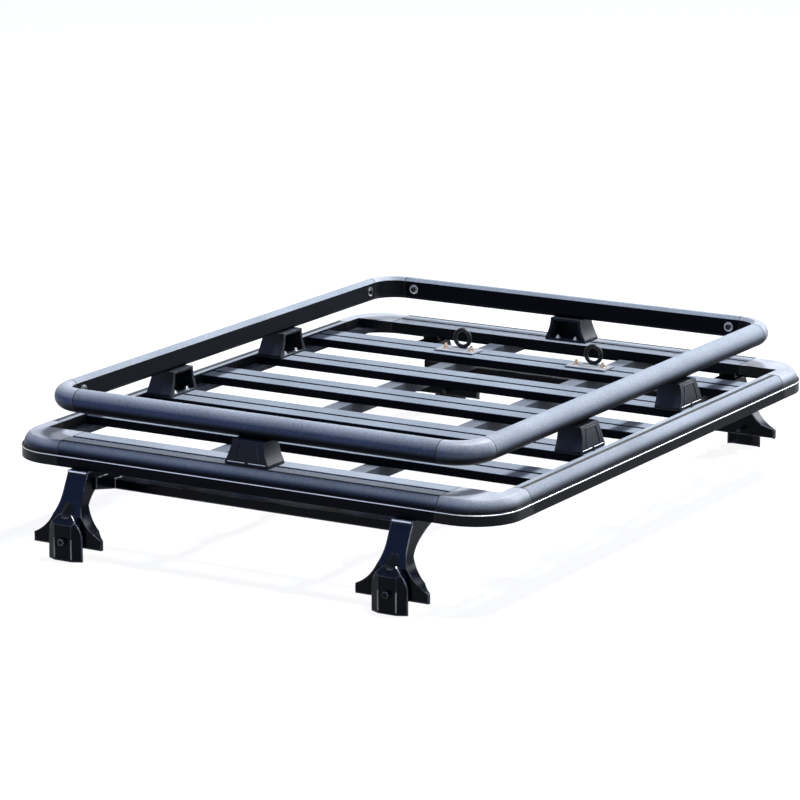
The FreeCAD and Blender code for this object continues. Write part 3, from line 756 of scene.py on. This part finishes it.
@dataclass
class JointLines:
    """Thin lines of compound where profiles meet their corner castings, in millimetres."""

    width: float = 1.8
    proud: float = 0.25
    sunk: float = 0.4
    end_depth: float = 0.05

    def end_loop(self, node: str, axis: int, place: float) -> list[Vector]:
        """Find the outline of a profile's end face.

        Args:
            node: Name of the profile's node.
            axis: Axis that the profile runs along.
            place: Where the end lies on that axis, in metres.

        Returns:
            The outline's points in order.
        """
        copy = merged_copy(node)
        depth = self.end_depth * MM
        ends = {face for face in copy.faces if all(abs(v.co[axis] - place) < depth for v in face.verts)}
        rim = [edge for edge in copy.edges if sum(face in ends for face in edge.link_faces) == 1]
        after: dict[int, list[int]] = {}
        for edge in rim:
            first, second = (v.index for v in edge.verts)
            after.setdefault(first, []).append(second)
            after.setdefault(second, []).append(first)
        start = next(iter(after))
        order = [start]
        previous = None
        while True:
            ways = [index for index in after[order[-1]] if index != previous]
            if not ways or ways[0] == start:
                break
            previous = order[-1]
            order.append(ways[0])
        copy.verts.ensure_lookup_table()
        points = [copy.verts[index].co.copy() for index in order]
        copy.free()
        return points

    def band(self, target: bmesh.types.BMesh, outline: list[Vector], axis: int) -> None:
        """Add a closed band round an outline.

        Args:
            target: The mesh that gets the band.
            outline: Points of the profile's end outline.
            axis: Axis that the profile runs along.
        """
        across = Vector((0.0, 0.0, 0.0))
        across[axis] = 1.0
        count = len(outline)
        area = Vector((0.0, 0.0, 0.0))
        for index in range(count):
            area += outline[index].cross(outline[(index + 1) % count])
        turn = 1.0 if area.dot(across) > 0 else -1.0
        section = ((self.proud, -1), (self.proud, 1), (-self.sunk, 1), (-self.sunk, -1))
        rings: list[list[bmesh.types.BMVert]] = [[] for _ in section]
        for index in range(count):
            before = (outline[index] - outline[index - 1]).normalized()
            behind = (outline[(index + 1) % count] - outline[index]).normalized()
            outward = (before + behind).cross(across) * turn
            if outward.length < NO_LENGTH:
                outward = before.cross(across) * turn
            outward.normalize()
            for ring, (out, along) in zip(rings, section):
                spot = outline[index] + outward * out * MM + across * along * self.width / 2 * MM
                ring.append(target.verts.new(spot))
        for this, following in zip(rings, rings[1:] + rings[:1]):
            for index in range(count):
                after = (index + 1) % count
                target.faces.new((this[index], following[index], following[after], this[after]))

    def build(self, name: str, family: str) -> bpy.types.Object:
        """Make the lines at both ends of each rail.

        Args:
            name: Name of the piece.
            family: Start of the four rails' names.

        Returns:
            One piece that holds all the lines.
        """
        lines = bmesh.new()
        for side in Side:
            node = side.node(family)
            low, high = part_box(node)
            for place in (low[side.axis], high[side.axis]):
                self.band(lines, self.end_loop(node, side.axis, place), side.axis)
        bmesh.ops.recalc_face_normals(lines, faces=lines.faces)
        mesh = bpy.data.meshes.new(name)
        lines.to_mesh(mesh)
        lines.free()
        return link_piece(name, mesh, JOINT_AND_GROOVE_SHADE)


@dataclass
class DeckFrame(SubAssembly):
    """The deck's rounded frame of profiles and cast corners, in millimetres."""

    corner_radius: float = 100.0
    corner_steps: int = 24
    # The pale bead along the ledge is a painted highlight.
    ledge_line_drop: float = 27.4
    bead_radius: float = 1.1
    # Dark lines of painted shade in the rails' grooves.
    side_grooves: tuple[float, ...] = (13.0, 15.5, 18.0, 20.5)
    end_grooves: tuple[float, ...] = (18.0, 20.0, 22.0)
    groove_radius: float = 0.8

    def dress(self) -> None:
        """Finish the profiles and the castings."""
        coat_nodes("frame_rail", DECK_COAT)
        coat_nodes("frame_corner", DECK_CAST)

    def side_groove_paths(self, side: Side) -> list[list[Vector]]:
        """Lay dark lines of painted shade in the grooves along the flat top of a side rail.

        Args:
            side: The left or the right.

        Returns:
            The two ends of each groove.
        """
        low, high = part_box(side.node("frame_rail"))
        way = side.outward.x
        inner = high.x if way < 0 else low.x
        places = [inner + inset * way * MM for inset in self.side_grooves]
        return [[Vector((x, low.y, high.z)), Vector((x, high.y, high.z))] for x in places]

    def end_groove_paths(self, side: Side) -> list[list[Vector]]:
        """Lay dark lines of painted shade in the grooves on the sloping top of an end rail.

        Args:
            side: The front or the back.

        Returns:
            The two ends of each groove.
        """
        low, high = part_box(side.node("frame_rail"))
        surface = surface_of(side.node("frame_rail"))
        way = -side.outward.y
        outer = low.y if way > 0 else high.y
        paths = []
        for inset in self.end_grooves:
            y = outer + inset * way * MM
            level = surface.ray_cast(Vector((0.0, y, RAY_START)), -UP)[0].z
            paths.append([Vector((low.x, y, level)), Vector((high.x, y, level))])
        return paths

    def build(self) -> None:
        """Add the bright line along the ledge as a painted highlight, the joint lines and dark lines of
        painted shade in the rails' fine grooves.
        """
        _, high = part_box("frame_corner_back_right")
        level = high.z - self.ledge_line_drop * MM
        path = rounded_loop(high.x, high.y, self.corner_radius * MM, level, self.corner_steps)
        # A pale bead along the ledge: painted highlight.
        settle(lay_beads("ledge_bright_edge", [path], True, self.bead_radius, PAINTED_HIGHLIGHT_BEAD))
        settle(JointLines().build("frame_joint_lines", "frame_rail"))
        grooves = []
        for side in (Side.LEFT, Side.RIGHT):
            grooves.extend(self.side_groove_paths(side))
        for side in (Side.FRONT, Side.BACK):
            grooves.extend(self.end_groove_paths(side))
        # Dark beads in the grooves: painted shade.
        lines = lay_beads("frame_rail_groove_shade", grooves, False, self.groove_radius, JOINT_AND_GROOVE_SHADE)
        settle(lines)


class Deck(SubAssembly):
    """The slats and the bars that carry them, which need no added pieces."""

    def dress(self) -> None:
        """Finish the slats as profiles and the bars in their darker coat."""
        coat_nodes("deck_slat", SLAT_COAT)
        coat_nodes("under_bar", BAR_COAT)


@dataclass
class RaisedRail(SubAssembly):
    """The rail above the deck, with its corner fixings, in millimetres."""

    fixing_back: float = 24.0
    washer: Fixing = Fixing(washer_radius=10.5, washer_height=2.0)
    bolt: Fixing = Fixing(head_radius=6.6, head_height=4.0, stud_radius=3.2, stud_height=1.6)

    def dress(self) -> None:
        """Finish the profiles and the corners."""
        coat_nodes("top_rail", RAIL_COAT)
        coat_nodes("top_corner", RAIL_CAST)

    def build(self) -> None:
        """Add the fixings inside the rail and the joint lines."""
        seats = []
        tops = []
        for side in Side:
            low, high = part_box(side.node("top_rail"))
            middle = (low + high) / 2
            reach = abs((high - low).dot(side.along)) / 2 - self.fixing_back * MM
            depth = abs((high - low).dot(side.outward)) / 2
            for way in BOTH_WAYS:
                seat = middle - side.outward * depth + side.along * reach * way
                seats.append((seat, -side.outward))
                tops.append((seat - side.outward * self.washer.washer_height * MM, -side.outward))
        settle(self.washer.scatter("raised_rail_washers", seats, ZINC_PLATE))
        settle(self.bolt.scatter("raised_rail_bolts", tops, BLACK_OXIDE))
        settle(JointLines().build("raised_rail_joint_lines", "top_rail"))


@dataclass
class Pedestals(SubAssembly):
    """The six moulded stands under the raised rail, in millimetres."""

    panel_foot: float = 12.0
    panel_head: float = 6.0
    panel_base_half: float = 29.0
    panel_top_half: float = 20.0
    panel_steps: int = 10
    ridge: float = 1.5
    # The pale lips along the stands' outer feet are a painted highlight.
    lip_half: float = 44.0
    lip_gap: float = 9.0
    lip_rise: float = 7.0
    lip_radius: float = 0.8
    bolt_across: float = 22.0
    bolt_in: float = 8.0
    fixing: Fixing = Fixing(washer_radius=7.0, washer_height=1.4, head_radius=5.0, head_height=3.6,
                            stud_radius=2.6, stud_height=2.0)

    def stands(self) -> dict[str, Side]:
        """Give the side that each stand is on."""
        return {
            "pedestal_front": Side.FRONT, "pedestal_back": Side.BACK,
            "pedestal_left_front": Side.LEFT, "pedestal_left_back": Side.LEFT,
            "pedestal_right_front": Side.RIGHT, "pedestal_right_back": Side.RIGHT,
        }

    def dress(self) -> None:
        """Finish the stands as moulded plastic."""
        coat_nodes("pedestal", MOULDED_NYLON)

    def panel_path(self, node: str, side: Side, surface: BVHTree) -> list[Vector]:
        """Draw the outline of the panel on a stand's bowed face.

        Args:
            node: Name of the stand's node.
            side: The side that it is on.
            surface: Its surface.

        Returns:
            Points on the face, up one side, across the top and down the other.
        """
        low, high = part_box(node)
        middle = (low + high) / 2
        bottom = low.z + self.panel_foot * MM
        top = high.z - self.panel_head * MM
        base = self.panel_base_half * MM
        crown = self.panel_top_half * MM
        corners = [(-base, bottom), (-crown, top), (crown, top), (base, bottom)]
        drawn = []
        for (across, height), (next_across, next_height) in zip(corners, corners[1:]):
            for step in range(self.panel_steps):
                share = step / self.panel_steps
                level = height + (next_height - height) * share
                drawn.append((across + (next_across - across) * share, level))
        drawn.append(corners[-1])
        path = []
        for across, level in drawn:
            spot = middle + side.along * across
            spot.z = level
            path.append(surface.ray_cast(spot + side.outward * RAY_START, -side.outward)[0])
        return path

    def lip_paths(self, node: str, side: Side) -> list[list[Vector]]:
        """Lay the two halves of the pale lip, a painted highlight, along a stand's outer foot.

        Args:
            node: Name of the stand's node.
            side: The side that it is on.

        Returns:
            The two ends of each half.
        """
        low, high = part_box(node)
        edge = (low + high) / 2 + side.outward * (abs((high - low).dot(side.outward)) / 2)
        edge.z = low.z + self.lip_rise * MM
        ends = (self.lip_gap / 2, self.lip_half)
        return [[edge + side.along * (reach * way * MM) for reach in ends] for way in BOTH_WAYS]

    def bolt_seats(self, node: str, side: Side, surface: BVHTree) -> list[tuple[Vector, Vector]]:
        """Find the seats of the two bolts in a stand's hollow inner side.

        Args:
            node: Name of the stand's node.
            side: The side that it is on.
            surface: Its surface.

        Returns:
            Each seat with the direction that its bolt stands out in.
        """
        low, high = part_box(node)
        middle = (low + high) / 2
        depth = abs((high - low).dot(side.outward)) / 2
        inner = middle - side.outward * (depth - self.bolt_in * MM)
        seats = []
        for way in BOTH_WAYS:
            hit = surface.ray_cast(inner + side.along * self.bolt_across * MM * way, -UP)
            if hit[0] is not None:
                seats.append((hit[0], UP))
        return seats

    def build(self) -> None:
        """Add the panel outlines, the bolts in the hollow inner sides and the pale base lips, a painted
        highlight.
        """
        ridges = []
        seats = []
        lips = []
        for node, side in self.stands().items():
            surface = surface_of(node)
            ridges.append(self.panel_path(node, side, surface))
            seats.extend(self.bolt_seats(node, side, surface))
            lips.extend(self.lip_paths(node, side))
        settle(lay_beads("pedestal_panel_ridges", ridges, False, self.ridge, MOULDED_NYLON))
        settle(self.fixing.scatter("pedestal_bolts", seats, ZINC_PLATE))
        # Pale lips: painted highlight.
        settle(lay_beads("pedestal_base_lips", lips, False, self.lip_radius, PAINTED_HIGHLIGHT_BEAD))


@dataclass(frozen=True)
class StemRing:
    """One level of a claw's stem, in millimetres: height, half width and how far it stands proud."""

    height: float
    half: float
    proud: float


@dataclass
class Undercarriage(SubAssembly):
    """The leg stubs, sill bars, feet, gutter claws and claw bolts below the deck, in millimetres."""

    # The pressed ribs and the feet's top lips are pale beads, a painted highlight.
    rib_across: float = 20.0
    rib_bottom: float = 6.0
    rib_top: float = 46.0
    rib_radius: float = 1.6
    lip_half: float = 21.0
    lip_drop: float = 2.0
    lip_radius: float = 2.0
    neck_inset: float = 38.0
    stem_rings: tuple[StemRing, ...] = (
        StemRing(86.0, 16.0, 13.0), StemRing(92.0, 15.5, 12.5), StemRing(97.0, 14.5, 11.0),
        StemRing(102.0, 13.5, 9.0), StemRing(107.0, 12.5, 6.5), StemRing(111.0, 11.5, 4.0),
        StemRing(114.0, 10.0, 1.0), StemRing(115.0, 8.5, -1.2),
    )
    stem_points: int = 14
    stem_sunk: float = 3.0
    lean_start: float = 90.0
    lean_end: float = 166.0
    corners: tuple[str, ...] = ("front_left", "front_right", "back_left", "back_right")

    def dress(self) -> None:
        """Finish the steelwork and its bolts in enamel."""
        for prefix in ("leg_stub", "sill_bar", "foot", "gutter_claw", "claw_bolts"):
            coat_nodes(prefix, STOVE_ENAMEL)

    def plate_depth(self, height: float) -> float:
        """Give how far a foot's front plate has leaned back at a height, both in millimetres."""
        share = (height - self.lean_start) / (self.lean_end - self.lean_start)
        return self.neck_inset * min(1.0, max(0.0, share))

    def stem(self, target: bmesh.types.BMesh, x: float, face: float, way: float) -> None:
        """Add the tapered stem that runs from a claw's crown up into the foot's front plate.

        Args:
            target: The mesh that gets the stem.
            x: Middle of the foot, in metres.
            face: Where the foot's front plate stands on Y, in metres.
            way: Minus one for a front foot and one for a back foot.
        """
        rings = []
        for level in self.stem_rings:
            ring = []
            back = self.plate_depth(level.height)
            for step in range(self.stem_points + 1):
                angle = math.pi * step / self.stem_points
                out = (level.proud + self.stem_sunk) * math.sin(angle) - self.stem_sunk - back
                side = x - level.half * math.cos(angle) * MM
                ring.append(target.verts.new((side, face + out * way * MM, level.height * MM)))
            rings.append(ring)
        count = self.stem_points + 1
        for lower, upper in zip(rings, rings[1:]):
            for index in range(count):
                after = (index + 1) % count
                target.faces.new((lower[index], lower[after], upper[after], upper[index]))
        target.faces.new(rings[0])
        target.faces.new(rings[-1])

    def rib_paths(self, corner: str) -> list[list[Vector]]:
        """Lay the two pressed ribs on the face of a claw.

        Args:
            corner: The corner that it is on.

        Returns:
            The two ends of each rib.
        """
        low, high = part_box(f"gutter_claw_{corner}")
        face = low.y if corner.startswith("front") else high.y
        middle = (low.x + high.x) / 2
        levels = (self.rib_bottom * MM, self.rib_top * MM)
        places = [middle + self.rib_across * MM * way for way in BOTH_WAYS]
        return [[Vector((x, face, level)) for level in levels] for x in places]

    def build(self) -> None:
        """Add the stems above the claws, the feet's pale top lips and the claws' pressed ribs, with the lips
        and ribs in pale finishes as a painted highlight.
        """
        stems = bmesh.new()
        lips = []
        ribs = []
        for corner in self.corners:
            low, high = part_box(f"foot_{corner}")
            way = -1.0 if corner.startswith("front") else 1.0
            face = low.y if way < 0 else high.y
            x = (low.x + high.x) / 2
            self.stem(stems, x, face, way)
            neck = face - self.neck_inset * way * MM
            level = high.z - self.lip_drop * MM
            lips.append([Vector((x + self.lip_half * side * MM, neck, level)) for side in BOTH_WAYS])
            ribs.extend(self.rib_paths(corner))
        bmesh.ops.recalc_face_normals(stems, faces=stems.faces)
        mesh = bpy.data.meshes.new("claw_stems")
        stems.to_mesh(mesh)
        stems.free()
        mesh.polygons.foreach_set("use_smooth", [True] * len(mesh.polygons))
        settle(link_piece("claw_stems", mesh, STOVE_ENAMEL))
        # Pale lips and ribs: painted highlight.
        settle(lay_beads("foot_top_lips", lips, False, self.lip_radius, PAINTED_HIGHLIGHT_BEAD))
        settle(lay_beads("claw_ribs", ribs, False, self.rib_radius, PAINTED_RIB_HIGHLIGHT))


@dataclass
class TieDowns(SubAssembly):
    """The two tie-down eyes on the back slat, in millimetres."""

    bolt_spacing: float = 64.0
    plate: float = 4.0
    fixing: Fixing = Fixing(washer_radius=7.0, washer_height=1.4, head_radius=5.5, head_height=4.5,
                            stud_radius=3.0, stud_height=5.0)

    def dress(self) -> None:
        """Finish the plates and rings as plated steel."""
        coat_nodes("eye_plate", EYE_PLATE)

    def build(self) -> None:
        """Add the studs and nuts that hold the plates."""
        spots = []
        for side in (Side.LEFT, Side.RIGHT):
            low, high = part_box(side.node("eye_plate"))
            middle = (low + high) / 2
            for way in BOTH_WAYS:
                x = middle.x + self.bolt_spacing / 2 * MM * way
                spots.append((Vector((x, middle.y, low.z + self.plate * MM)), UP))
        settle(self.fixing.scatter("eye_plate_studs", spots, WARM_ZINC))


@dataclass(frozen=True, kw_only=True)
class Softbox:
    """One soft lamp, in metres and watts."""

    name: str
    place: tuple[float, float, float]
    size: float
    power: float
    tint: str

    def hang(self, aim: Vector) -> None:
        """Hang the lamp and turn it to a point.

        Args:
            aim: The point that it lights.
        """
        lamp = bpy.data.lights.new(self.name, "AREA")
        lamp.shape = "SQUARE"
        lamp.size = self.size
        lamp.energy = self.power
        lamp.color = linear(self.tint)[:3]
        holder = bpy.data.objects.new(self.name, lamp)
        holder.location = self.place
        holder.rotation_euler = (aim - Vector(self.place)).to_track_quat("-Z", "Y").to_euler()
        bpy.context.scene.collection.objects.link(holder)


@dataclass
class Studio:
    """A pale floor, soft lamps, a white surround and the camera, in metres and degrees."""

    floor_half: float = 30.0
    floor_tone: str = "54575c"
    floor_glow: float = 0.92
    sky_tint: str = "769ff5"
    sky_strength: float = 0.26
    aim: tuple[float, float, float] = (0.0, 0.0, 0.22)
    camera_place: tuple[float, float, float] = (4.182, -7.213, 2.180)
    camera_rise: float = 13.26
    camera_turn: float = 30.44
    lens: float = 183.9
    sensor: float = 36.0
    view_end: float = 100.0
    lamps: tuple[Softbox, ...] = (
        Softbox(name="key_top", place=(0.9, 0.85, 6.0), size=0.8, power=810.0, tint="fbfcff"),
        Softbox(name="key_back", place=(1.1, 3.75, 5.2), size=0.9, power=620.0, tint="fffdf9"),
        Softbox(name="sheen_back", place=(2.9, 5.6, 2.7), size=2.6, power=330.0, tint="f5f8ff"),
        Softbox(name="fill_front", place=(-3.4, -5.2, 3.4), size=2.2, power=75.0, tint="4f80f0"),
        Softbox(name="edge_right", place=(5.4, -1.4, 1.4), size=1.2, power=75.0, tint="e6eeff"),
    )

    def seen_rays(self, tree: bpy.types.NodeTree) -> bpy.types.NodeSocket:
        """Pick out rays from the camera and mirrored or refracted ones.

        Args:
            tree: The tree of the floor's material or of the world.

        Returns:
            A socket that is one for such rays.
        """
        path = add_node(tree, "ShaderNodeLightPath").outputs
        first = add_node(tree, "ShaderNodeMath", {"operation": "MAXIMUM"},
                         {0: path["Is Camera Ray"], 1: path["Is Glossy Ray"]})
        both = add_node(tree, "ShaderNodeMath", {"operation": "MAXIMUM"},
                        {0: first.outputs["Value"], 1: path["Is Transmission Ray"]})
        return both.outputs["Value"]

    def lay_floor(self) -> None:
        """Lay a plain pale floor that keeps a faint shadow."""
        plate = bmesh.new()
        reach = self.floor_half
        spots = ((-reach, -reach), (reach, -reach), (reach, reach), (-reach, reach))
        plate.faces.new([plate.verts.new((x, y, 0.0)) for x, y in spots])
        mesh = bpy.data.meshes.new("studio_floor")
        plate.to_mesh(mesh)
        plate.free()
        material = bpy.data.materials.new("pale_studio_paper")
        material.use_nodes = True
        tree = material.node_tree
        tree.nodes.clear()
        matt = add_node(tree, "ShaderNodeBsdfDiffuse", inputs={"Color": linear(self.floor_tone)})
        glow_share = add_node(tree, "ShaderNodeMath", {"operation": "MULTIPLY"},
                              {0: self.seen_rays(tree), 1: self.floor_glow})
        glow = add_node(tree, "ShaderNodeEmission", inputs={"Strength": glow_share.outputs["Value"]})
        both = add_node(tree, "ShaderNodeAddShader", inputs={
            0: matt.outputs["BSDF"], 1: glow.outputs["Emission"]})
        add_node(tree, "ShaderNodeOutputMaterial", inputs={"Surface": both.outputs["Shader"]})
        mesh.materials.append(material)
        floor = bpy.data.objects.new("studio_floor", mesh)
        bpy.context.scene.collection.objects.link(floor)

    def light(self) -> None:
        """Set the white surround and hang the lamps."""
        world = bpy.data.worlds.new("white_surround")
        bpy.context.scene.world = world
        world.use_nodes = True
        tree = world.node_tree
        tree.nodes.clear()
        sky = add_node(tree, "ShaderNodeBackground", inputs={
            "Color": linear(self.sky_tint), "Strength": self.sky_strength})
        white = add_node(tree, "ShaderNodeBackground", inputs={"Color": WHITE, "Strength": 1.0})
        mixed = add_node(tree, "ShaderNodeMixShader", inputs={
            0: self.seen_rays(tree), 1: sky.outputs["Background"], 2: white.outputs["Background"]})
        add_node(tree, "ShaderNodeOutputWorld", inputs={"Surface": mixed.outputs["Shader"]})
        for lamp in self.lamps:
            lamp.hang(Vector(self.aim))

    def place_camera(self) -> None:
        """Place the camera at the photograph's angle."""
        lens = bpy.data.cameras.new("photo_camera")
        lens.lens = self.lens
        lens.sensor_width = self.sensor
        lens.clip_end = self.view_end
        camera = bpy.data.objects.new("photo_camera", lens)
        camera.location = self.camera_place
        camera.rotation_euler = (math.radians(90 - self.camera_rise), 0.0, math.radians(self.camera_turn))
        bpy.context.scene.collection.objects.link(camera)
        bpy.context.scene.camera = camera

    def build(self) -> None:
        """Set up the whole studio."""
        bpy.context.scene.view_settings.view_transform = "Standard"
        self.lay_floor()
        self.light()
        self.place_camera()


def main() -> None:
    """Build every sub-assembly in order, then the studio."""
    logging.basicConfig(level=logging.INFO, format="%(name)s: %(message)s")
    for assembly in (DeckFrame(), Deck(), RaisedRail(), Pedestals(), Undercarriage(), TieDowns()):
        assembly.dress()
        assembly.build()
    Studio().build()


if __name__ == "__main__":
    main()
